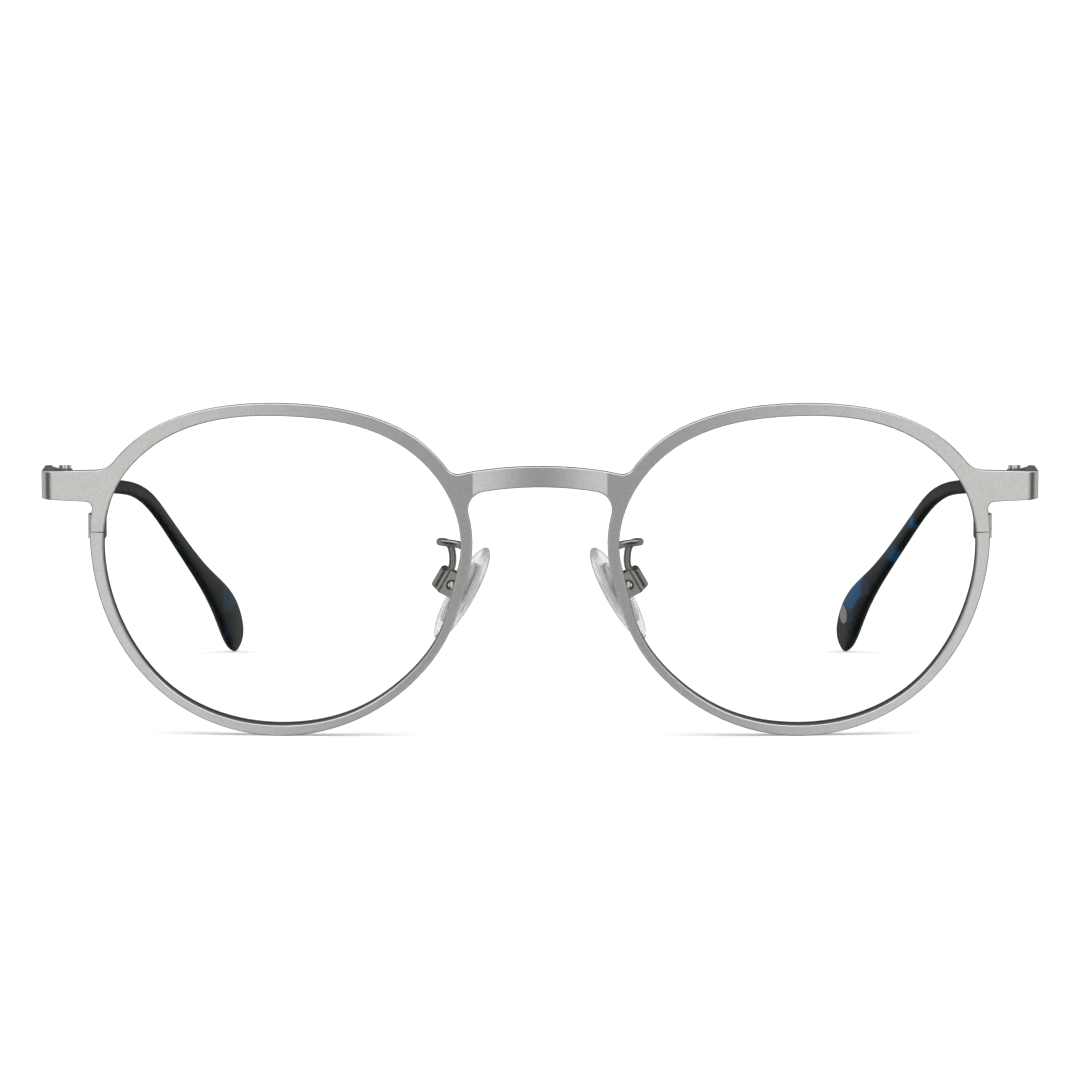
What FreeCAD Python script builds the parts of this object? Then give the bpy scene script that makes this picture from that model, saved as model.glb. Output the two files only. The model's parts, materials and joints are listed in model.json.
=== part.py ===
"""Round metal eyeglasses with a flat stamped front and folding temples.

Every piece is first drawn in the front's own frame, in millimetres: X to the
wearer's left, Y backwards from the front face, Z up from the lens datum line.
The wearer's left side is drawn and the right side is its mirror image. At the
end the whole pair is tipped forward until it stands on its rims and its tips.
"""

import FreeCAD
import Part
import math
import os

V = FreeCAD.Vector

# Half the size of the blocks that cut right through the front.
REACH = 40.0

# Rims. Radii of the lens opening and widths of the face around it are given at
# sixteen even steps, from the nasal side over the top and down the temple side.
HUB_X = 34.0
OPENING_RADII = (
    (22.9, 24.0, 23.15, 21.55, 20.85, 22.05, 24.2, 25.5)
    + (24.75, 23.7, 22.95, 21.9, 21.15, 21.15, 21.45, 22.15)
)
FACE_WIDTHS = (
    (1.6, 1.7, 1.95, 1.75, 1.7, 1.7, 2.1, 2.2)
    + (1.65, 1.45, 1.2, 1.3, 1.4, 1.15, 1.15, 1.2)
)
FRONT_RADIUS = 280.0

# Stamped front plate.
SHEET = 1.0
EDGE_ROUND = 0.16
BRIDGE_HALF = 9.0
BRIDGE_RADIUS = 40.0
BRIDGE_TOP = 14.35
BRIDGE_LOW = 11.55
BRIDGE_TOP_END = (13.5, 12.4)
BRIDGE_LOW_END = (12.5, 9.6)
WALL_X = 67.4
WALL_BEHIND_HINGE = 3.0
CORNER_RADIUS = 2.0
END_PIECE = ((57.5, 8.7), (69.0, 8.95), (69.0, 12.65), (57.5, 13.2))
SLIT_Z = 4.7
SLIT = 0.12
SLIT_X = (57.0, 63.0)
SLIT_Y = (-2.0, 12.0)

# Fillets where the rims meet the bridge and the end pieces: x, z and radius.
FRONT_CORNERS = ((10.3, 10.3, 2.6), (11.0, 13.3, 1.8), (60.8, 8.4, 0.9), (58.5, 13.2, 3.0))

# Grooved eyewire and lens; depths are measured back from the front face.
WIRE_WIDTH = 1.05
WIRE_BACK = 3.0
GROOVE_DEEP = 0.5
GROOVE_FRONT = 1.6
GROOVE_BACK = 2.4
LENS_FRONT = 1.25
LENS_BACK = 2.95
LENS_GAP = 0.04

# Closing blocks that clamp the eyewire around the lens.
LOCK_X = (58.85, 61.2)
LOCK_Y = (5.0, 10.1)
LOCK_TOP = 6.6
LOCK_BOTTOM = 3.4
LOCK_SCREW = (60.05, 8.75)
LOCK_SCREW_RADIUS = 0.5
LOCK_SCREW_CLEARANCE = 0.08

# Screw heads: their radius, how far they stand up, and their driver slot.
HEAD_RADIUS = 0.85
HEAD_HEIGHT = 0.48
DRIVER_HALF = 0.1
DRIVER_DEPTH = 0.22

# Hinge: its centre in the front's frame, and sizes about its own axis.
HINGE_Y = 12.5
HINGE_Z = 10.8
HINGE_X = 64.6
PANTOSCOPIC = 8.45
CANT = 1.2
BARREL_RADIUS = 1.0
BARREL_HALF = 1.5
BARREL_MIDDLE = 0.48
BARREL_GAP = 0.04
LEAF_X = 65.65
LEAF_HALF = 1.35
FRONT_LEAF = 4.3
TEMPLE_LEAF = 7.0
PIN_RADIUS = 0.5
PIN_CLEARANCE = 0.03
BUTT_GAP = 0.05

# Temple centreline: distance back, height and sideways position at each station.
STRIP = ((0.05, 0.0, 66.9), (30.0, 0.0, 66.7), (62.0, 0.0, 65.6), (78.0, 0.0, 64.35))
EAR_BEND = (
    (86.0, -0.1, 63.1),
    (91.5, -0.55, 61.95),
    (96.0, -1.7, 60.6),
    (101.0, -4.2, 58.9),
    (108.0, -9.0, 56.1),
    (116.0, -14.2, 52.9),
    (123.0, -18.9, 50.3),
    (126.6, -22.2, 49.3),
    (128.6, -24.0, 48.9),
    (129.6, -24.95, 48.75),
)
STRIP_HEIGHTS = (3.8, 2.9, 1.9, 1.4)
STRIP_THICK = 1.0
STRIP_ROUND = 0.2
CORE_SIZE = (1.0, 0.65)
CORE_STATIONS = 6
CORE_OVERLAP = 2.0
FULLNESS = 2.5
TIP_STATIONS = (70.0, 74.0, 78.0, 82.0)
TIP_HEIGHTS = (2.1, 2.1, 2.1, 2.1) + (2.1, 2.15, 2.3, 2.4, 2.65, 3.5, 5.6, 5.5, 4.2, 2.6)
TIP_THICKS = (1.75, 1.75, 1.75, 1.75) + (1.75, 1.75, 1.8, 1.7, 1.8, 2.1, 2.4, 2.3, 1.8, 1.0)
TIP_TWISTS = (0, 0, 0, 0) + (0, 0, 0, 0, 4, 14, 20, 20, 20, 20)
PLAQUE_BACK = 124.6
PLAQUE_RISE = 0.9
PLAQUE_RADIUS = 1.5
PLAQUE_INNER = 0.45
PLAQUE_TWIST = 20.0

# Pad, its box and its arm. The pad frame has W back along the screw, N towards
# the nose and L up along the pad, with its origin in the middle of the screw.
PAD_SCREW = V(12.4, 9.8, -2.9)
PAD_TILT = 30.0
PAD_SPLAY = 20.0
PAD_CENTRE = -0.6
PAD_HALF_LENGTH = 7.2
PAD_HALF_WIDTH = 3.5
PAD_BACK = 1.6
PAD_FACE = 3.5
PAD_FACE_ROUND = 1.1
PAD_BACK_ROUND = 0.5
INSERT_HALF_LENGTH = 4.6
INSERT_HALF_WIDTH = 1.9
INSERT_THICK = 0.5
INSERT_DEPTH = 0.55
BOX_N = (-1.9, 1.3)
BOX_L = 1.7
BOX_W = 1.3
BOX_ROUND = 1.0
BOX_SLOT = 0.65
BOX_SLOT_END = -1.0
TAB_RADIUS = 0.85
TAB_HALF = 0.58
PAD_SCREW_DOME = 0.15
PAD_SCREW_HEAD = 0.78
COUNTERSINK_RADIUS = 0.78
COUNTERSINK_DEPTH = 0.28
ARM_RADIUS = 0.5
ARM_END_N = -0.7
ARM_END_DEPTH = 0.15
ARM_PATH = (
    (10.2, 2.6, 2.9),
    (11.3, 4.4, 3.1),
    (13.3, 6.3, 3.1),
    (13.4, 8.2, 2.9),
    (12.3, 9.6, 2.3),
    (11.9, 9.75, 1.1),
)


def spline(points, closed=False):
    """A smooth curve through the points."""
    curve = Part.BSplineCurve()
    curve.interpolate([V(*point) for point in points], PeriodicFlag=closed)
    return curve.toShape()


def arc_about(centre, start, end):
    """The short arc from start to end about a centre, all as (x, y) pairs."""
    middle = V((start[0] + end[0]) / 2 - centre[0], (start[1] + end[1]) / 2 - centre[1], 0)
    radius = math.dist(centre, start)
    middle = V(centre[0], centre[1], 0) + middle.normalize() * radius
    return Part.Arc(V(*start, 0), middle, V(*end, 0)).toShape()


def line(start, end):
    return Part.makeLine(V(*start, 0), V(*end, 0))


def mirrored(shape):
    return shape.mirror(V(0, 0, 0), V(1, 0, 0))


def block(x, y, z):
    """A box from pairs of limits."""
    return Part.makeBox(x[1] - x[0], y[1] - y[0], z[1] - z[0], V(x[0], y[0], z[0]))


def prism(wire, front=-6.0, back=20.0):
    """A closed outline in the XZ plane, drawn at y = 0, extruded from front to back."""
    face = Part.Face(wire)
    face.translate(V(0, front, 0))
    return face.extrude(V(0, back - front, 0))


# ---- the front -----------------------------------------------------------


def rim_outline(margin):
    """The rim's round outline, a margin outside the lens opening at every step."""
    points = []
    for step, radius in enumerate(OPENING_RADII):
        extra = margin[step] if isinstance(margin, tuple) else margin
        angle = 2 * math.pi * step / len(OPENING_RADII)
        reach = radius + extra
        points.append((HUB_X - reach * math.cos(angle), 0, reach * math.sin(angle)))
    return Part.Wire([spline(points, closed=True)])


def behind_face(depth):
    """Everything further back than a depth behind the front's face curve."""
    return Part.makeCylinder(FRONT_RADIUS - depth, 2 * REACH, V(BRIDGE_HALF, FRONT_RADIUS, -REACH))


def layer(margin, near, far):
    """A rim-shaped slab that follows the front's curve between two depths."""
    return prism(rim_outline(margin)).common(behind_face(near)).cut(behind_face(far))


def face_depth(x):
    """How far back the front's face lies at a sideways position on the rim."""
    return FRONT_RADIUS - math.sqrt(FRONT_RADIUS**2 - (x - BRIDGE_HALF) ** 2)


def plan_profile():
    """The bent sheet seen from above: arched bridge, swept rims, end pieces turned back."""
    bridge_centre = (0, math.sqrt(BRIDGE_RADIUS**2 - BRIDGE_HALF**2))
    bridge_back_x = math.sqrt((BRIDGE_RADIUS - SHEET) ** 2 - (bridge_centre[1] - SHEET) ** 2)
    rim_centre = (BRIDGE_HALF, FRONT_RADIUS)
    corner_x = WALL_X - CORNER_RADIUS
    sweep = math.asin((corner_x - BRIDGE_HALF) / (FRONT_RADIUS - CORNER_RADIUS))
    corner = (corner_x, FRONT_RADIUS - (FRONT_RADIUS - CORNER_RADIUS) * math.cos(sweep))
    wall_end = HINGE_Y + WALL_BEHIND_HINGE
    inner_wall = WALL_X - SHEET
    inner_bend = CORNER_RADIUS - SHEET

    def on_rim(radius):
        return (BRIDGE_HALF + radius * math.sin(sweep), FRONT_RADIUS - radius * math.cos(sweep))

    edges = [
        arc_about(bridge_centre, (-BRIDGE_HALF, 0), (BRIDGE_HALF, 0)),
        arc_about(bridge_centre, (-bridge_back_x, SHEET), (bridge_back_x, SHEET)),
    ]
    half = [
        arc_about(rim_centre, (BRIDGE_HALF, 0), on_rim(FRONT_RADIUS)),
        arc_about(corner, on_rim(FRONT_RADIUS), (WALL_X, corner[1])),
        line((WALL_X, corner[1]), (WALL_X, wall_end)),
        line((WALL_X, wall_end), (inner_wall, wall_end)),
        line((inner_wall, wall_end), (inner_wall, corner[1])),
        arc_about(corner, (corner_x + inner_bend, corner[1]), on_rim(FRONT_RADIUS - SHEET)),
        arc_about(rim_centre, on_rim(FRONT_RADIUS - SHEET), (BRIDGE_HALF, SHEET)),
        line((BRIDGE_HALF, SHEET), (bridge_back_x, SHEET)),
    ]
    edges += half + [mirrored(edge) for edge in half]
    return Part.Face(Part.Wire(Part.__sortEdges__(edges)))


def bridge_outline():
    """A low arch whose ends are buried in the rims."""
    top_x, top_z = BRIDGE_TOP_END
    low_x, low_z = BRIDGE_LOW_END
    top = Part.Arc(V(-top_x, 0, top_z), V(0, 0, BRIDGE_TOP), V(top_x, 0, top_z)).toShape()
    low = Part.Arc(V(-low_x, 0, low_z), V(0, 0, BRIDGE_LOW), V(low_x, 0, low_z)).toShape()
    left = Part.makeLine(V(low_x, 0, low_z), V(top_x, 0, top_z))
    right = mirrored(left)
    return Part.Wire(Part.__sortEdges__([top, low, left, right]))


def end_piece_outline():
    corners = [V(x, 0, z) for x, z in END_PIECE]
    return Part.makePolygon(corners + corners[:1])


def edge_along_depth(shape, x, z):
    """The straight front-to-back edge that is nearest to a point of the front view."""

    def distance(edge):
        point = edge.Vertexes[0].Point
        return math.dist((point.x, point.z), (x, z))

    return min((e for e in shape.Edges if abs(e.tangentAt(e.FirstParameter).y) > 0.999), key=distance)


def front_outline():
    """The whole front as a straight-through block, with its inside corners rounded."""
    half = prism(rim_outline(FACE_WIDTHS)).fuse(prism(end_piece_outline()))
    solid = half.fuse([mirrored(half), prism(bridge_outline())]).removeSplitter()
    for x, z, radius in FRONT_CORNERS:
        for side in (1, -1):
            solid = solid.makeFillet(radius, [edge_along_depth(solid, side * x, z)])
    opening = prism(rim_outline(0.0))
    return solid.cut([opening, mirrored(opening)])


def is_outer_edge(edge):
    """Whether an edge borders the plate's visible face."""
    point = edge.valueAt((edge.FirstParameter + edge.LastParameter) / 2)
    x = abs(point.x)
    if x > WALL_X - CORNER_RADIUS:
        return False
    if x > BRIDGE_HALF:
        return abs(point.y - face_depth(x)) < 0.01
    centre_y = math.sqrt(BRIDGE_RADIUS**2 - BRIDGE_HALF**2)
    on_face = abs(math.dist((x, point.y), (0, centre_y)) - BRIDGE_RADIUS) < 0.01
    return on_face and x < BRIDGE_HALF - 0.01


def temple_placed(shape):
    """Moves a shape drawn about the hinge centre into the front's frame."""
    shape.rotate(V(0, 0, 0), V(1, 0, 0), -PANTOSCOPIC)
    shape.translate(V(0, HINGE_Y, HINGE_Z))
    return shape


def rim_slit():
    """The hairline where the rim opens so that the lens can be changed."""
    return block(SLIT_X, SLIT_Y, (SLIT_Z - SLIT / 2, SLIT_Z + SLIT / 2))


def front_plate():
    plan = plan_profile().extrude(V(0, 0, 2 * REACH))
    plan.translate(V(0, 0, -REACH))
    plate = front_outline().common(plan)
    plate = plate.makeFillet(EDGE_ROUND, [edge for edge in plate.Edges if is_outer_edge(edge)])
    behind_hinge = temple_placed(block((HINGE_X, WALL_X + REACH), (-BUTT_GAP, REACH), (-REACH, REACH)))
    slit = rim_slit()
    return plate.cut([behind_hinge, mirrored(behind_hinge), slit, mirrored(slit)])


def eyewire():
    ring = layer(WIRE_WIDTH, SHEET, WIRE_BACK).cut(prism(rim_outline(0.0)))
    groove = layer(GROOVE_DEEP, GROOVE_FRONT, GROOVE_BACK)
    return ring.cut([groove, rim_slit()])


def lens():
    body = layer(-LENS_GAP, LENS_FRONT, LENS_BACK)
    bevel = layer(GROOVE_DEEP - LENS_GAP, GROOVE_FRONT, GROOVE_BACK - LENS_GAP)
    return body.fuse(bevel).removeSplitter()


def rim_locks():
    """Upper and lower closing blocks and the screw that draws them together."""
    x, y = LOCK_SCREW
    behind = behind_face(WIRE_BACK)
    upper = block(LOCK_X, LOCK_Y, (SLIT_Z + SLIT / 2, LOCK_TOP)).common(behind)
    lower = block(LOCK_X, LOCK_Y, (LOCK_BOTTOM, SLIT_Z - SLIT / 2)).common(behind)
    height = LOCK_TOP - LOCK_BOTTOM
    bottom = V(x, y, LOCK_BOTTOM)
    shank = Part.makeCylinder(LOCK_SCREW_RADIUS, height, bottom)
    clearance = Part.makeCylinder(LOCK_SCREW_RADIUS + LOCK_SCREW_CLEARANCE, height, bottom)
    head = Part.makeCylinder(HEAD_RADIUS, HEAD_HEIGHT, bottom - V(0, 0, HEAD_HEIGHT))
    end = LOCK_BOTTOM - HEAD_HEIGHT
    slot_y = (y - DRIVER_HALF, y + DRIVER_HALF)
    driver = block((x - 1, x + 1), slot_y, (end - 1, end + DRIVER_DEPTH))
    return upper.cut(shank), lower.cut(clearance), shank.fuse(head).cut(driver).removeSplitter()


# ---- nose pads -----------------------------------------------------------


def pad_placed(shape):
    """Moves a shape drawn as X = N, Y = W, Z = L into the front's frame."""
    shape.rotate(V(0, 0, 0), V(0, 0, 1), 180 + PAD_SPLAY)
    shape = shape.mirror(V(0, 0, 0), V(0, 1, 0))
    shape.rotate(V(0, 0, 0), V(0, 1, 0), -PAD_TILT)
    shape.translate(PAD_SCREW)
    return shape


def along_w(radius, start, end):
    return Part.makeCylinder(radius, end - start, V(0, start, 0), V(0, 1, 0))


def pad_box():
    """A clip folded round the tab, closed and rounded on the temple side."""
    body = block(BOX_N, (-BOX_W, BOX_W), (-BOX_L, BOX_L))
    rounded = [e for e in body.Edges if e.CenterOfMass.x < BOX_N[0] + 0.01]
    body = body.makeFillet(BOX_ROUND, rounded)
    slot = block((BOX_SLOT_END, 3), (-BOX_SLOT, BOX_SLOT), (-3, 3))
    sink = Part.makeCone(
        COUNTERSINK_RADIUS, PIN_RADIUS, COUNTERSINK_DEPTH, V(0, -BOX_W, 0), V(0, 1, 0)
    )
    return body.cut([slot, sink, along_w(PIN_RADIUS, -3, 3)])


def pad_screw():
    """A shank that is domed at the front and has a slotted head at the back."""
    tip, top = -BOX_W - PAD_SCREW_DOME, BOX_W + HEAD_HEIGHT
    dome = (PIN_RADIUS**2 + PAD_SCREW_DOME**2) / (2 * PAD_SCREW_DOME)
    corners = [
        (PIN_RADIUS, -BOX_W),
        (PIN_RADIUS, BOX_W),
        (PAD_SCREW_HEAD, BOX_W),
        (PAD_SCREW_HEAD, top),
        (0, top),
        (0, tip),
    ]
    edges = [line(start, end) for start, end in zip(corners, corners[1:])]
    edges.append(arc_about((0, tip + dome), (0, tip), corners[0]))
    solid = Part.Face(Part.Wire(edges)).revolve(V(0, 0, 0), V(0, 1, 0), 360)
    driver = block((-DRIVER_HALF, DRIVER_HALF), (top - DRIVER_DEPTH, top + 1), (-1, 1))
    return solid.cut(driver)


def oval(half_length, half_width):
    """A closed pad outline in the plane across N."""
    centre = V(0, 0, PAD_CENTRE)
    ellipse = Part.Ellipse(centre + V(0, 0, half_length), centre + V(0, half_width, 0), centre)
    return Part.Face(Part.Wire([ellipse.toShape()]))


def pad_insert():
    """The stiff plate inside the pad and the tab that the screw passes through."""
    plate = oval(INSERT_HALF_LENGTH, INSERT_HALF_WIDTH).extrude(V(INSERT_THICK, 0, 0))
    plate.translate(V(PAD_BACK + INSERT_DEPTH, 0, 0))
    stem_n = (0, PAD_BACK + INSERT_DEPTH + INSERT_THICK / 2)
    stem = block(stem_n, (-TAB_HALF, TAB_HALF), (-TAB_RADIUS, TAB_RADIUS))
    tab = along_w(TAB_RADIUS, -TAB_HALF, TAB_HALF)
    hole = along_w(PIN_RADIUS + PIN_CLEARANCE, -3, 3)
    return plate.fuse([stem, tab]).removeSplitter().cut(hole)


def nose_pad(insert):
    body = oval(PAD_HALF_LENGTH, PAD_HALF_WIDTH).extrude(V(PAD_FACE - PAD_BACK, 0, 0))
    body.translate(V(PAD_BACK, 0, 0))
    front = [e for e in body.Edges if abs(e.CenterOfMass.x - PAD_FACE) < 0.01]
    back = [e for e in body.Edges if abs(e.CenterOfMass.x - PAD_BACK) < 0.01]
    body = body.makeFillet(PAD_FACE_ROUND, front).makeFillet(PAD_BACK_ROUND, back)
    return body.cut(insert)


def pad_arm(box, wire, glass):
    """A wire from the back of the rim, out, round and down to the top of the box."""
    end = pad_placed(Part.Vertex(ARM_END_N, 0, BOX_L - ARM_END_DEPTH)).Point
    path = spline(ARM_PATH + (tuple(end),))
    direction = path.tangentAt(path.FirstParameter)
    start = Part.Circle(path.valueAt(path.FirstParameter), direction, ARM_RADIUS)
    section = Part.Wire([start.toShape()])
    rod = Part.Wire([path]).makePipeShell([section], True, True)
    return rod.cut([box, wire, glass])


# ---- hinges and temples --------------------------------------------------


def barrel(low, high):
    return Part.makeCylinder(BARREL_RADIUS, high - low, V(HINGE_X, 0, low))


def canted(shape, cant):
    """Tips hinge hardware about the temple's own length, through the hinge centre."""
    shape.rotate(V(HINGE_X, 0, 0), V(0, 1, 0), cant)
    return shape


def hinge_front_leaf(cant, plate):
    """Upper and lower barrels on a leaf soldered inside the end piece."""
    inner = BARREL_MIDDLE + BARREL_GAP
    leaf = block((LEAF_X, WALL_X - SHEET + 0.1), (-FRONT_LEAF, -BUTT_GAP), (-BARREL_HALF, BARREL_HALF))
    parts = []
    for low, high in ((-BARREL_HALF, -inner), (inner, BARREL_HALF)):
        parts.append(barrel(low, high))
        parts.append(block((HINGE_X, LEAF_X + 0.1), (-BARREL_RADIUS, -BUTT_GAP), (low, high)))
    pin = Part.makeCylinder(PIN_RADIUS, 6, V(HINGE_X, 0, -3))
    solid = canted(leaf.fuse(parts).removeSplitter().cut(pin), cant)
    return temple_placed(solid).cut(plate)


def hinge_temple_leaf(cant, strip):
    """The middle barrel on a leaf soldered inside the temple."""
    low, high = -BARREL_MIDDLE, BARREL_MIDDLE
    leaf = block((LEAF_X, WALL_X), (BUTT_GAP, TEMPLE_LEAF), (-LEAF_HALF, LEAF_HALF))
    web = block((HINGE_X, LEAF_X + 0.1), (BUTT_GAP, BARREL_RADIUS), (low, high))
    pin = Part.makeCylinder(PIN_RADIUS + PIN_CLEARANCE, 6, V(HINGE_X, 0, -3))
    solid = canted(leaf.fuse([web, barrel(low, high)]).removeSplitter().cut(pin), cant)
    outer = block((WALL_X - SHEET / 2, WALL_X + SHEET), (0, 2 * TEMPLE_LEAF), (-BARREL_HALF, BARREL_HALF))
    return temple_placed(solid.cut([outer, strip]))


def hinge_screw(cant):
    shank = Part.makeCylinder(PIN_RADIUS, 2 * BARREL_HALF, V(HINGE_X, 0, -BARREL_HALF))
    head = Part.makeCylinder(HEAD_RADIUS, HEAD_HEIGHT, V(HINGE_X, 0, BARREL_HALF))
    top = BARREL_HALF + HEAD_HEIGHT
    driver = block((HINGE_X - 1, HINGE_X + 1), (-DRIVER_HALF, DRIVER_HALF), (top - DRIVER_DEPTH, top + 1))
    solid = shank.fuse(head).cut(driver).removeSplitter()
    return temple_placed(canted(solid, cant))


def temple_path():
    return spline([(x, y, z) for y, z, x in STRIP + EAR_BEND])


def station(path, back):
    """The point and the direction of the path at a distance back."""
    low, high = path.FirstParameter, path.LastParameter
    for _ in range(40):
        middle = (low + high) / 2
        if path.valueAt(middle).y < back:
            low = middle
        else:
            high = middle
    return path.valueAt(low), path.tangentAt(low)


def section_axes(along, twist):
    """The tall and the thin direction of a section, turned by a twist in degrees."""
    tall = along.cross(V(1, 0, 0)).normalize()
    thin = tall.cross(along).normalize()
    cosine, sine = math.cos(math.radians(twist)), math.sin(math.radians(twist))
    return tall * cosine + thin * sine, thin * cosine - tall * sine


def flat_section(path, back, height):
    """A flat closed outline with rounded corners across the path."""
    centre, along = station(path, back)
    tall, thin = section_axes(along, 0.0)
    up, out = height / 2 - STRIP_ROUND, STRIP_THICK / 2 - STRIP_ROUND
    sides = [(thin, out), (tall, up), (thin * -1, out), (tall * -1, up)]
    corners = []
    for (before, reach_before), (after, reach_after) in zip(sides, sides[1:] + sides[:1]):
        pivot = centre + before * reach_before + after * reach_after
        middle = pivot + (before + after).normalize() * STRIP_ROUND
        corners.append((pivot + before * STRIP_ROUND, middle, pivot + after * STRIP_ROUND))
    edges = []
    for corner, following in zip(corners, corners[1:] + corners[:1]):
        edges.append(Part.Arc(*corner).toShape())
        edges.append(Part.makeLine(corner[2], following[0]))
    return Part.Wire(edges)


def round_section(path, back, size, twist=0.0):
    """A full, rounded closed outline across the path."""
    centre, along = station(path, back)
    tall, thin = section_axes(along, twist)
    points = []
    for step in range(12):
        angle = 2 * math.pi * step / 12
        cosine, sine = math.cos(angle), math.sin(angle)
        reach = (abs(cosine) ** FULLNESS + abs(sine) ** FULLNESS) ** (-1 / FULLNESS)
        spot = centre + tall * (reach * cosine * size[0] / 2) + thin * (reach * sine * size[1] / 2)
        points.append(tuple(spot))
    return Part.Wire([spline(points, closed=True)])


def temple_metal(path):
    """The flat strip and the thin core that runs on inside the tip."""
    flats = [flat_section(path, point[0], height) for point, height in zip(STRIP, STRIP_HEIGHTS)]
    strip = Part.makeLoft(flats, True, True)
    core_at = [STRIP[-1][0] - CORE_OVERLAP] + [point[0] for point in EAR_BEND[:CORE_STATIONS]]
    core = Part.makeLoft([round_section(path, back, CORE_SIZE) for back in core_at], True)
    return strip.fuse(core).removeSplitter()


def temple_sleeve(path):
    """The tip moulded over the core, widening to a twisted paddle behind the ear."""
    tip_at = list(TIP_STATIONS) + [point[0] for point in EAR_BEND]
    sizes = zip(TIP_HEIGHTS, TIP_THICKS)
    rounds = [
        round_section(path, back, size, twist)
        for back, size, twist in zip(tip_at, sizes, TIP_TWISTS)
    ]
    return Part.makeLoft(rounds, True)


def tip_plaque(path, sleeve):
    """A plain round plaque set flush into the inner face of the paddle."""
    centre, along = station(path, PLAQUE_BACK)
    down, outward = section_axes(along, PLAQUE_TWIST)
    inward = outward * -1
    foot = centre - down * PLAQUE_RISE + inward * PLAQUE_INNER
    return Part.makeCylinder(PLAQUE_RADIUS, 3.0, foot, inward).common(sleeve)


def side_parts(cant, plate):
    """Every piece of the wearer's left side, by name."""
    wire = eyewire()
    glass = lens()
    lock_upper, lock_lower, lock_screw = rim_locks()
    box = pad_placed(pad_box())
    insert = pad_insert()
    pad = nose_pad(insert)
    path = temple_path()
    metal = temple_metal(path)
    sleeve = temple_sleeve(path).cut(metal)
    leaf = hinge_temple_leaf(cant, metal)
    return {
        "eyewire": wire,
        "lens": glass,
        "rim_lock_upper": lock_upper,
        "rim_lock_lower": lock_lower,
        "rim_lock_screw": lock_screw,
        "pad_arm": pad_arm(box, wire, glass),
        "pad_box": box,
        "pad_screw": pad_placed(pad_screw()),
        "pad_insert": pad_placed(insert),
        "nose_pad": pad_placed(pad),
        "hinge_front_leaf": hinge_front_leaf(cant, plate),
        "hinge_temple_leaf": leaf,
        "hinge_screw": hinge_screw(cant),
        "temple": temple_placed(metal),
        "temple_tip": temple_placed(sleeve),
    }


def all_parts():
    plate = front_plate()
    parts = {"front_plate": plate}
    for name, shape in side_parts(-CANT, plate).items():
        parts[name + "_left"] = shape
    for name, shape in side_parts(CANT, plate).items():
        parts[name + "_right"] = mirrored(shape)
    path = temple_path()
    plaque = temple_placed(tip_plaque(path, temple_sleeve(path)))
    parts["temple_tip_left"] = parts["temple_tip_left"].cut(plaque)
    parts["tip_plaque_left"] = plaque
    return parts


def lowest(shapes):
    """The lowest point of the shapes' surfaces."""
    points = [point for shape in shapes for point in shape.tessellate(0.05)[0]]
    return min(points, key=lambda point: point.z)


def tipped(shapes, degrees):
    return [shape.copy().rotate(V(0, 0, 0), V(1, 0, 0), degrees) for shape in shapes]


def standing_angle(parts):
    """How far the front leans forward once rims and tips both rest on a level floor."""
    degrees = 0.0
    for _ in range(4):
        front = lowest(tipped([parts["front_plate"], parts["eyewire_left"]], degrees))
        tip = lowest(tipped([parts["temple_tip_left"]], degrees))
        degrees += math.degrees(math.atan2(front.z - tip.z, tip.y - front.y))
    return degrees


def main():
    parts = all_parts()
    lean = standing_angle(parts)
    whole = Part.makeCompound(tipped(parts.values(), lean))
    floor = lowest([whole]).z
    bounds = whole.BoundBox
    middle = (bounds.YMin + bounds.YMax) / 2
    os.makedirs("parts", exist_ok=True)
    for name, shape in parts.items():
        shape.rotate(V(0, 0, 0), V(1, 0, 0), lean)
        shape.translate(V(0, -middle, -floor))
        shape.exportStep(f"parts/{name}.step")

    def row_frame(point, direction):
        """A point and a direction of the front's frame, as they stand."""
        turn = FreeCAD.Rotation(V(1, 0, 0), lean)
        place = turn.multVec(point) + V(0, -middle, -floor)
        return [round(value, 5) for value in tuple(place) + tuple(turn.multVec(direction))]

    for side, cant in ((1, -CANT), (-1, CANT)):
        hinge = V(side * HINGE_X, HINGE_Y, HINGE_Z)
        axis = FreeCAD.Rotation(V(0, 1, 0), cant).multVec(V(0, 0, 1))
        axis = FreeCAD.Rotation(V(1, 0, 0), -PANTOSCOPIC).multVec(V(side * axis.x, axis.y, axis.z))
        print("hinge", side, row_frame(hinge, axis))
        pin = FreeCAD.Rotation(V(0, 1, 0), -PAD_TILT).multVec(
            V(math.sin(math.radians(PAD_SPLAY)), math.cos(math.radians(PAD_SPLAY)), 0)
        )
        screw = V(side * PAD_SCREW.x, PAD_SCREW.y, PAD_SCREW.z)
        print("pad", side, row_frame(screw, V(side * pin.x, pin.y, pin.z)))
    print("lean", round(lean, 4), "size", bounds.XLength, bounds.YLength, bounds.ZLength)


if __name__ == "__main__":
    main()
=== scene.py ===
"""The looks of the round metal eyeglasses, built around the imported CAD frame.

Distances are in metres unless a name ends in MM. Left and right are the wearer's,
so the left side is +X. The front faces -Y, and the pair stands on the floor at z = 0.
"""

import json
import math
from collections import namedtuple

import bmesh
import bpy
from mathutils import Matrix, Vector


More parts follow.
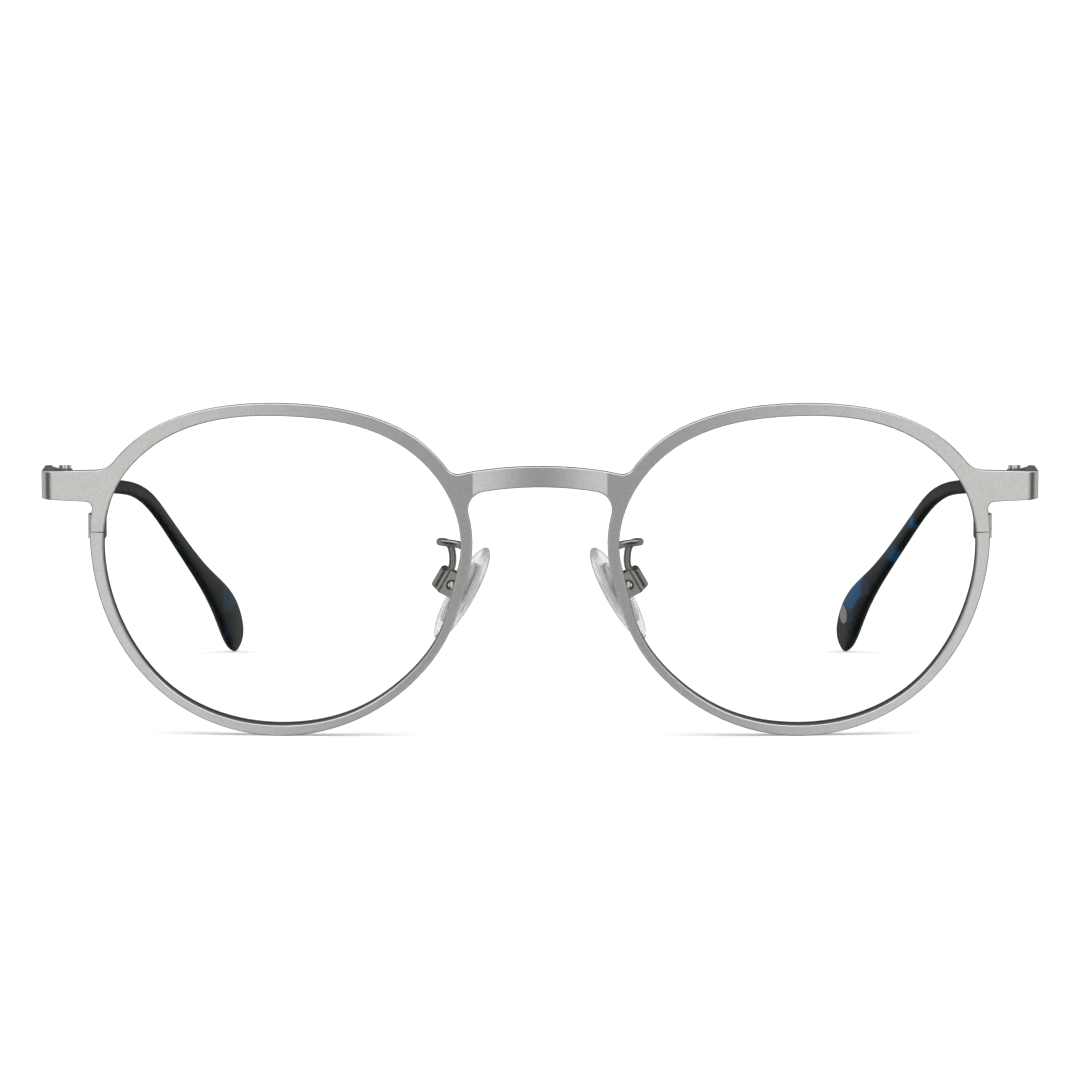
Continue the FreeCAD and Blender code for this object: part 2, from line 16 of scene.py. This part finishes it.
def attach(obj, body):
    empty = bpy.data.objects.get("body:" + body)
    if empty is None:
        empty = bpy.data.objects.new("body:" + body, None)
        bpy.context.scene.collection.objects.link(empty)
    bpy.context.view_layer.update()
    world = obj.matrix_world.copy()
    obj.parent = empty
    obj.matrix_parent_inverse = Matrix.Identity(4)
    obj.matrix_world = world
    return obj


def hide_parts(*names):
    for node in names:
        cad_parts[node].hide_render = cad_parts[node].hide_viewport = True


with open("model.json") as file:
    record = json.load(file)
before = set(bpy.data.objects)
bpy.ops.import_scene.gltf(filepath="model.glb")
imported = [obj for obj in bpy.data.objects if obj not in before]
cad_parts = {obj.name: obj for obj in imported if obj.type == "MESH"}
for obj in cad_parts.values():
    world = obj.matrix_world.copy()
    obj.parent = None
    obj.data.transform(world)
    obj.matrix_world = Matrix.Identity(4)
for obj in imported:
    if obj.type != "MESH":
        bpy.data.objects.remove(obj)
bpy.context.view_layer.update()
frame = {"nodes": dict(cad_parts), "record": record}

MM = 0.001
SIDES = {"left": 1, "right": -1}

# How the pads and the front sit: tilts in degrees, as the CAD sets them.
PANTOSCOPIC = 8.45
PAD_TILT = 30.0
PAD_SPLAY = 20.0

# Nose pad, along its own axes: N to the nose, W back along the screw, L up the pad.
PAD_CENTRE_MM = -0.6
PAD_HALF_LENGTH_MM = 7.2
PAD_HALF_WIDTH_MM = 3.5
PAD_BACK_MM = 1.6
PAD_FACE_MM = 3.5
PAD_EDGE_POWER = 0.62  # 1 would give an ellipsoid, and less makes the edge fuller
PAD_STEPS_AROUND = 48
PAD_RINGS = 12

# Metals: the mean colour, the mean roughness and the depth of the blasted grain.
Metal = namedtuple("Metal", "colour roughness grain")
FRONT_METAL = Metal((0.62, 0.62, 0.62), 0.29, 0.5)
WIRE_METAL = Metal((0.42, 0.42, 0.41), 0.28, 0.3)
FITTINGS_METAL = Metal((0.27, 0.265, 0.255), 0.2, 0.3)
PLAQUE_METAL = Metal((0.36, 0.345, 0.32), 0.5, 0.3)
STEEL_COLOUR = (0.78, 0.78, 0.79)
TINT_SPREAD = 0.1
ROUGHNESS_SPREAD = 0.08

# Clear parts: how much of a pad is a plain see-through skin instead of refracting
# silicone, and how much of the lens's natural reflection its coat leaves.
PAD_CLEAR_SHARE = 0.3
LENS_SHEEN = 0.07

# Studio light. A patch lies at the same turn on both sides of the front, in degrees
# from straight ahead, and its height is the sine of its elevation. The fades say over
# what distance it dies out at its edges.
Patch = namedtuple("Patch", "strength turns turn_fade heights height_fade")
STUDIO_LIGHTS = (
    Patch(0.28, turns=(-90, 13), turn_fade=12, heights=(-0.8, 0.5), height_fade=0.3),
    Patch(0.93, turns=(13, 44), turn_fade=12, heights=(-0.8, 0.6), height_fade=0.3),
    Patch(0.55, turns=(88, 150), turn_fade=15, heights=(-0.7, 0.8), height_fade=0.3),
    Patch(2.0, turns=(-90, 120), turn_fade=30, heights=(0.6, 2.0), height_fade=0.2),
)
LIGHT_COLOUR = (1.0, 0.99, 0.965, 1.0)
ROOM_LEVEL = 0.11
BACKDROP_LEVEL = 1.1

# Floor.
FLOOR_SIZE = 40.0
FLOOR_COLOUR = (0.8, 0.8, 0.8, 1.0)
FLOOR_GLOW = 0.33

# Camera.
CAMERA_Y = -0.76875
CAMERA_HEIGHT = 0.07093
CAMERA_PITCH = 3.619
CAMERA_LENS_MM = 174.4
CAMERA_SENSOR_MM = 36.0
CAMERA_NEAR = 0.01
CAMERA_FAR = 50.0


# ---- shader helpers --------------------------------------------------------


def new_material(name):
    """An empty node material, its nodes and links, and its output."""
    material = bpy.data.materials.new(name)
    material.use_nodes = True
    nodes = material.node_tree.nodes
    nodes.clear()
    output = nodes.new("ShaderNodeOutputMaterial")
    return material, nodes, material.node_tree.links, output


def principled(nodes, **values):
    """A principled shader with the given inputs, underscores standing for spaces."""
    shader = nodes.new("ShaderNodeBsdfPrincipled")
    for name, value in values.items():
        shader.inputs[name.replace("_", " ")].default_value = value
    return shader


def object_position(nodes):
    return nodes.new("ShaderNodeTexCoord").outputs["Object"]


def noise(nodes, links, scale, detail=3.0, roughness=0.5, source=None):
    """Noise with about scale blobs to a metre, over the object's own position by default."""
    texture = nodes.new("ShaderNodeTexNoise")
    texture.inputs["Scale"].default_value = scale
    texture.inputs["Detail"].default_value = detail
    texture.inputs["Roughness"].default_value = roughness
    links.new(source or object_position(nodes), texture.inputs["Vector"])
    return texture


def ramp(nodes, links, source, stops):
    """A colour that runs through (position, colour) stops as the source goes from 0 to 1."""
    node = nodes.new("ShaderNodeValToRGB")
    elements = node.color_ramp.elements
    while len(elements) < len(stops):
        elements.new(0.5)
    for element, (position, colour) in zip(elements, stops):
        element.position = position
        element.color = (*colour, 1.0)
    links.new(source, node.inputs["Fac"])
    return node.outputs["Color"]


def map_range(nodes, links, source, low, high):
    """Maps a 0 to 1 value onto another range."""
    node = nodes.new("ShaderNodeMapRange")
    node.inputs["To Min"].default_value = low
    node.inputs["To Max"].default_value = high
    links.new(source, node.inputs["Value"])
    return node.outputs["Result"]


def bump(nodes, links, height, strength, distance):
    node = nodes.new("ShaderNodeBump")
    node.inputs["Strength"].default_value = strength
    node.inputs["Distance"].default_value = distance
    links.new(height, node.inputs["Height"])
    return node.outputs["Normal"]


def mix_shaders(nodes, links, share, first, second):
    """The first shader with a share of the second, given as a number or a socket."""
    mix = nodes.new("ShaderNodeMixShader")
    if isinstance(share, float):
        mix.inputs["Fac"].default_value = share
    else:
        links.new(share, mix.inputs["Fac"])
    links.new(first.outputs["BSDF"], mix.inputs[1])
    links.new(second.outputs["BSDF"], mix.inputs[2])
    return mix.outputs["Shader"]


def math_node(nodes, links, operation, *values):
    node = nodes.new("ShaderNodeMath")
    node.operation = operation
    for socket, value in zip(node.inputs, values):
        if isinstance(value, (int, float)):
            socket.default_value = value
        else:
            links.new(value, socket)
    return node.outputs["Value"]


def smooth_step(nodes, links, value, start, end):
    """0 before the start and 1 past the end, with a smooth change between."""
    node = nodes.new("ShaderNodeMapRange")
    node.interpolation_type = "SMOOTHSTEP"
    node.inputs["From Min"].default_value = min(start, end)
    node.inputs["From Max"].default_value = max(start, end)
    node.inputs["To Min"].default_value = 0.0 if start < end else 1.0
    node.inputs["To Max"].default_value = 1.0 if start < end else 0.0
    links.new(value, node.inputs["Value"])
    return node.outputs["Result"]


def window(nodes, links, value, low, high, fade):
    """1 where the value lies between low and high, fading out at both ends."""
    rise = smooth_step(nodes, links, value, low - fade / 2, low + fade / 2)
    fall = smooth_step(nodes, links, value, high + fade / 2, high - fade / 2)
    return math_node(nodes, links, "MULTIPLY", rise, fall)


# ---- materials -------------------------------------------------------------


def satin_metal(name, metal):
    """Bead-blasted silver: a fine even grain over a barely cloudy polish."""
    material, nodes, links, output = new_material(name)
    shader = principled(nodes, Metallic=1.0)
    position = object_position(nodes)
    speckle = noise(nodes, links, scale=4500.0, detail=2.0, roughness=0.6, source=position)
    dark = [channel * (1 - TINT_SPREAD) for channel in metal.colour]
    light = [channel * (1 + TINT_SPREAD) for channel in metal.colour]
    tint = ramp(nodes, links, speckle.outputs["Fac"], [(0.3, dark), (0.7, light)])
    links.new(tint, shader.inputs["Base Color"])
    cloud = noise(nodes, links, scale=300.0, source=position)
    smoothest = metal.roughness * (1 - ROUGHNESS_SPREAD)
    roughest = metal.roughness * (1 + ROUGHNESS_SPREAD)
    rough = map_range(nodes, links, cloud.outputs["Fac"], smoothest, roughest)
    links.new(rough, shader.inputs["Roughness"])
    grain = noise(nodes, links, scale=9000.0, detail=2.0, roughness=0.6, source=position)
    normal = bump(nodes, links, grain.outputs["Fac"], strength=metal.grain, distance=0.02 * MM)
    links.new(normal, shader.inputs["Normal"])
    links.new(shader.outputs["BSDF"], output.inputs["Surface"])
    return material


def polished_steel():
    """Bright screw heads with faint uneven wear."""
    material, nodes, links, output = new_material("screw_steel")
    shader = principled(nodes, Metallic=1.0, Base_Color=(*STEEL_COLOUR, 1.0))
    wear = noise(nodes, links, scale=2500.0, roughness=0.6)
    rough = map_range(nodes, links, wear.outputs["Fac"], low=0.12, high=0.28)
    links.new(rough, shader.inputs["Roughness"])
    links.new(shader.outputs["BSDF"], output.inputs["Surface"])
    return material


def warped_position(nodes, links, position, reach):
    """The position pushed about by a soft noise, so that patches get torn edges."""
    warp = noise(nodes, links, scale=90.0, detail=2.0, source=position)
    shifted = nodes.new("ShaderNodeVectorMath")
    shifted.operation = "MULTIPLY_ADD"
    shifted.inputs[1].default_value = (reach, reach, reach)
    links.new(warp.outputs["Color"], shifted.inputs[0])
    links.new(position, shifted.inputs[2])
    return shifted.outputs["Vector"]


def mottled_acetate():
    """Polished near-black acetate with deep blue patches."""
    material, nodes, links, output = new_material("mottled_acetate")
    shader = principled(nodes, Roughness=0.34, IOR=1.49, Specular_IOR_Level=0.16)
    position = object_position(nodes)
    torn = warped_position(nodes, links, position, reach=12 * MM)
    patches = noise(nodes, links, scale=110.0, roughness=0.45, source=torn)
    stops = [
        (0.0, (0.004, 0.004, 0.005)),
        (0.54, (0.004, 0.004, 0.006)),
        (0.60, (0.004, 0.030, 0.070)),
        (0.66, (0.0, 0.085, 0.235)),
        (0.75, (0.0, 0.060, 0.160)),
    ]
    links.new(ramp(nodes, links, patches.outputs["Fac"], stops), shader.inputs["Base Color"])
    ripple = noise(nodes, links, scale=260.0, detail=2.0, roughness=0.4, source=position)
    normal = bump(nodes, links, ripple.outputs["Fac"], strength=0.1, distance=0.05 * MM)
    links.new(normal, shader.inputs["Normal"])
    links.new(shader.outputs["BSDF"], output.inputs["Surface"])
    return material


def coated_lens():
    """Clear plastic with a non-reflecting coat: nearly invisible, with a faint cool sheen."""
    material, nodes, links, output = new_material("coated_lens")
    clear = nodes.new("ShaderNodeBsdfTransparent")
    clear.inputs["Color"].default_value = (0.992, 0.996, 0.994, 1.0)
    gloss = nodes.new("ShaderNodeBsdfGlossy")
    gloss.inputs["Roughness"].default_value = 0.02
    smear = noise(nodes, links, scale=60.0)
    green_to_blue = [(0.3, (0.50, 0.85, 0.75)), (0.7, (0.55, 0.70, 1.0))]
    sheen = ramp(nodes, links, smear.outputs["Fac"], green_to_blue)
    links.new(sheen, gloss.inputs["Color"])
    fresnel = nodes.new("ShaderNodeFresnel")
    fresnel.inputs["IOR"].default_value = 1.5
    weaker = map_range(nodes, links, fresnel.outputs["Fac"], low=0.0, high=LENS_SHEEN)
    links.new(mix_shaders(nodes, links, weaker, clear, gloss), output.inputs["Surface"])
    return material


def clear_silicone():
    """Soft clear silicone: glassy and slightly grey inside, with a fine matt skin."""
    material, nodes, links, output = new_material("clear_silicone")
    shader = principled(nodes, IOR=1.41, Transmission_Weight=1.0)
    cloud = noise(nodes, links, scale=400.0, detail=2.0)
    greys = [(0.3, (0.58, 0.59, 0.61)), (0.7, (0.74, 0.75, 0.77))]
    tint = ramp(nodes, links, cloud.outputs["Fac"], greys)
    links.new(tint, shader.inputs["Base Color"])
    skin = noise(nodes, links, scale=1800.0, detail=2.0)
    normal = bump(nodes, links, skin.outputs["Fac"], strength=0.12, distance=0.02 * MM)
    links.new(normal, shader.inputs["Normal"])
    rough = map_range(nodes, links, skin.outputs["Fac"], low=0.03, high=0.12)
    links.new(rough, shader.inputs["Roughness"])
    clear = nodes.new("ShaderNodeBsdfTransparent")
    clear.inputs["Color"].default_value = (0.86, 0.865, 0.88, 1.0)
    both = mix_shaders(nodes, links, PAD_CLEAR_SHARE, shader, clear)
    links.new(both, output.inputs["Surface"])
    return material


def insert_plastic():
    """The stiff clear core moulded into each pad."""
    material, nodes, links, output = new_material("insert_plastic")
    shader = principled(nodes, IOR=1.5, Transmission_Weight=0.8, Roughness=0.2)
    cloud = noise(nodes, links, scale=700.0, detail=2.0)
    greys = [(0.3, (0.62, 0.63, 0.65)), (0.7, (0.78, 0.79, 0.80))]
    tint = ramp(nodes, links, cloud.outputs["Fac"], greys)
    links.new(tint, shader.inputs["Base Color"])
    links.new(shader.outputs["BSDF"], output.inputs["Surface"])
    return material


def assign(material, *nodes):
    """Puts one material on CAD nodes."""
    for name in nodes:
        mesh = frame["nodes"][name].data
        mesh.materials.clear()
        mesh.materials.append(material)


def paint_cad():
    front = satin_metal("satin_front", FRONT_METAL)
    wire = satin_metal("satin_wire", WIRE_METAL)
    fittings = satin_metal("satin_fittings", FITTINGS_METAL)
    plaque = satin_metal("dull_plaque", PLAQUE_METAL)
    steel = polished_steel()
    acetate = mottled_acetate()
    lens = coated_lens()
    insert = insert_plastic()
    assign(front, "front_plate")
    assign(plaque, "tip_plaque_left")
    for side in SIDES:
        assign(front, f"temple_{side}")
        assign(acetate, f"temple_tip_{side}")
        assign(lens, f"lens_{side}")
        assign(insert, f"pad_insert_{side}")
        for name in ("rim_lock_screw", "pad_screw", "hinge_screw"):
            assign(steel, f"{name}_{side}")
        for name in ("eyewire", "rim_lock_upper", "rim_lock_lower"):
            assign(wire, f"{name}_{side}")
        for name in ("pad_arm", "pad_box", "hinge_front_leaf", "hinge_temple_leaf"):
            assign(fittings, f"{name}_{side}")


# ---- nose pads -------------------------------------------------------------


def joint_named(name):
    return next(j for j in frame["record"]["behaviour"]["joints"] if j["name"] == name)


def front_lean():
    """How far the front leans, in radians, from a hinge axis that leans with the temples."""
    axis = joint_named("left_temple_fold")["axis"]
    return math.radians(PANTOSCOPIC) - math.atan2(axis[1], axis[2])


def pad_axes(side):
    """The pad's own axes N, W and L, as columns, and its screw's centre."""
    sign = SIDES[side]
    splay, tilt = math.radians(PAD_SPLAY), math.radians(PAD_TILT)
    turn = Matrix.Rotation(front_lean(), 3, "X") @ Matrix.Rotation(-tilt, 3, "Y")
    axes = [
        turn @ Vector((-math.cos(splay), math.sin(splay), 0)),
        turn @ Vector((math.sin(splay), math.cos(splay), 0)),
        turn @ Vector((0, 0, 1)),
    ]
    for axis in axes:
        axis.x *= sign
    return axes, Vector(joint_named(f"{side}_pad_rock")["pos_m"])


def pad_rows(bm):
    """Rings of vertices from the pad's face round its full edge to its flatter back."""
    middle = (PAD_BACK_MM + PAD_FACE_MM) / 2
    rows = []
    for ring in range(1, 2 * PAD_RINGS):
        angle = math.pi * ring / (2 * PAD_RINGS)
        reach = math.sin(angle) ** PAD_EDGE_POWER
        lift = math.cos(angle)
        depth = (PAD_FACE_MM - middle) * lift if lift > 0 else (middle - PAD_BACK_MM) * lift
        row = []
        for step in range(PAD_STEPS_AROUND):
            turn = 2 * math.pi * step / PAD_STEPS_AROUND
            across = PAD_HALF_WIDTH_MM * reach * math.cos(turn)
            along = PAD_HALF_LENGTH_MM * reach * math.sin(turn)
            row.append(bm.verts.new((middle + depth, across, PAD_CENTRE_MM + along)))
        rows.append(row)
    return rows


def pad_mesh(name):
    """A domed oval pad: a soft crowned face, a full edge and a nearly flat back."""
    bm = bmesh.new()
    rows = pad_rows(bm)
    for low, high in zip(rows, rows[1:]):
        for step in range(PAD_STEPS_AROUND):
            after = (step + 1) % PAD_STEPS_AROUND
            bm.faces.new((low[step], low[after], high[after], high[step]))
    for row, depth in ((rows[0], PAD_FACE_MM), (rows[-1], PAD_BACK_MM)):
        pole = bm.verts.new((depth, 0, PAD_CENTRE_MM))
        for step in range(PAD_STEPS_AROUND):
            bm.faces.new((row[step], row[(step + 1) % PAD_STEPS_AROUND], pole))
    bmesh.ops.recalc_face_normals(bm, faces=bm.faces)
    mesh = bpy.data.meshes.new(name)
    bm.to_mesh(mesh)
    bm.free()
    return mesh


def nose_pad(side, material):
    mesh = pad_mesh(f"silicone_pad_{side}")
    axes, centre = pad_axes(side)
    basis = Matrix((axes[0], axes[1], axes[2])).transposed().to_4x4()
    mesh.transform(Matrix.Translation(centre) @ basis @ Matrix.Scale(MM, 4))
    if SIDES[side] > 0:
        mesh.flip_normals()
    mesh.materials.append(material)
    mesh.polygons.foreach_set("use_smooth", [True] * len(mesh.polygons))
    piece = bpy.data.objects.new(mesh.name, mesh)
    bpy.context.scene.collection.objects.link(piece)
    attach(piece, f"pad_{side}_body")
    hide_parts(f"nose_pad_{side}")


# ---- stage, light and camera -------------------------------------------------


def floor():
    """A wide plain floor in matt white, which glows a little so that shadows stay soft."""
    bpy.ops.mesh.primitive_plane_add(size=FLOOR_SIZE, location=(0, 0, 0))
    plane = bpy.context.object
    plane.name = "floor"
    material, nodes, links, output = new_material("white_floor")
    shader = principled(nodes, Base_Color=FLOOR_COLOUR, Roughness=0.9)
    shader.inputs["Emission Color"].default_value = (1.0, 1.0, 1.0, 1.0)
    shader.inputs["Emission Strength"].default_value = FLOOR_GLOW
    links.new(shader.outputs["BSDF"], output.inputs["Surface"])
    plane.data.materials.append(material)
    plane.visible_glossy = False
    plane.visible_diffuse = False


def studio_level(nodes, links):
    """The brightness of the studio in each direction: a dim room and its light patches."""
    direction = nodes.new("ShaderNodeSeparateXYZ")
    links.new(nodes.new("ShaderNodeTexCoord").outputs["Generated"], direction.inputs["Vector"])
    x, y, height = direction.outputs
    to_side = math_node(nodes, links, "ABSOLUTE", x)
    to_front = math_node(nodes, links, "MULTIPLY", y, -1.0)
    azimuth = math_node(nodes, links, "ARCTAN2", to_side, to_front)
    level = ROOM_LEVEL
    for light in STUDIO_LIGHTS:
        low, high = (math.radians(turn) for turn in light.turns)
        patch = window(nodes, links, azimuth, low, high, math.radians(light.turn_fade))
        band = window(nodes, links, height, *light.heights, light.height_fade)
        both = math_node(nodes, links, "MULTIPLY", patch, band)
        lit = math_node(nodes, links, "MULTIPLY", both, light.strength)
        level = math_node(nodes, links, "ADD", lit, level)
    return level


def studio():
    """Soft light from above and from both sides, before a plain white backdrop."""
    world = bpy.data.worlds.new("studio")
    world.use_nodes = True
    nodes, links = world.node_tree.nodes, world.node_tree.links
    level = studio_level(nodes, links)
    path = nodes.new("ShaderNodeLightPath").outputs
    seen = math_node(nodes, links, "MAXIMUM", path["Is Camera Ray"], path["Is Transmission Ray"])
    backdrop = math_node(nodes, links, "MULTIPLY", seen, BACKDROP_LEVEL)
    background = nodes["Background"]
    brightest = math_node(nodes, links, "MAXIMUM", level, backdrop)
    links.new(brightest, background.inputs["Strength"])
    background.inputs["Color"].default_value = LIGHT_COLOUR
    bpy.context.scene.world = world


def camera():
    data = bpy.data.cameras.new("camera")
    data.lens = CAMERA_LENS_MM
    data.sensor_width = CAMERA_SENSOR_MM
    data.clip_start = CAMERA_NEAR
    data.clip_end = CAMERA_FAR
    shot = bpy.data.objects.new("camera", data)
    shot.location = (0, CAMERA_Y, CAMERA_HEIGHT)
    shot.rotation_euler = (math.radians(90 - CAMERA_PITCH), 0, 0)
    bpy.context.scene.collection.objects.link(shot)
    bpy.context.scene.camera = shot


paint_cad()
silicone = clear_silicone()
for side in SIDES:
    nose_pad(side, silicone)
floor()
studio()
camera()
bpy.context.scene.view_settings.view_transform = "Standard"
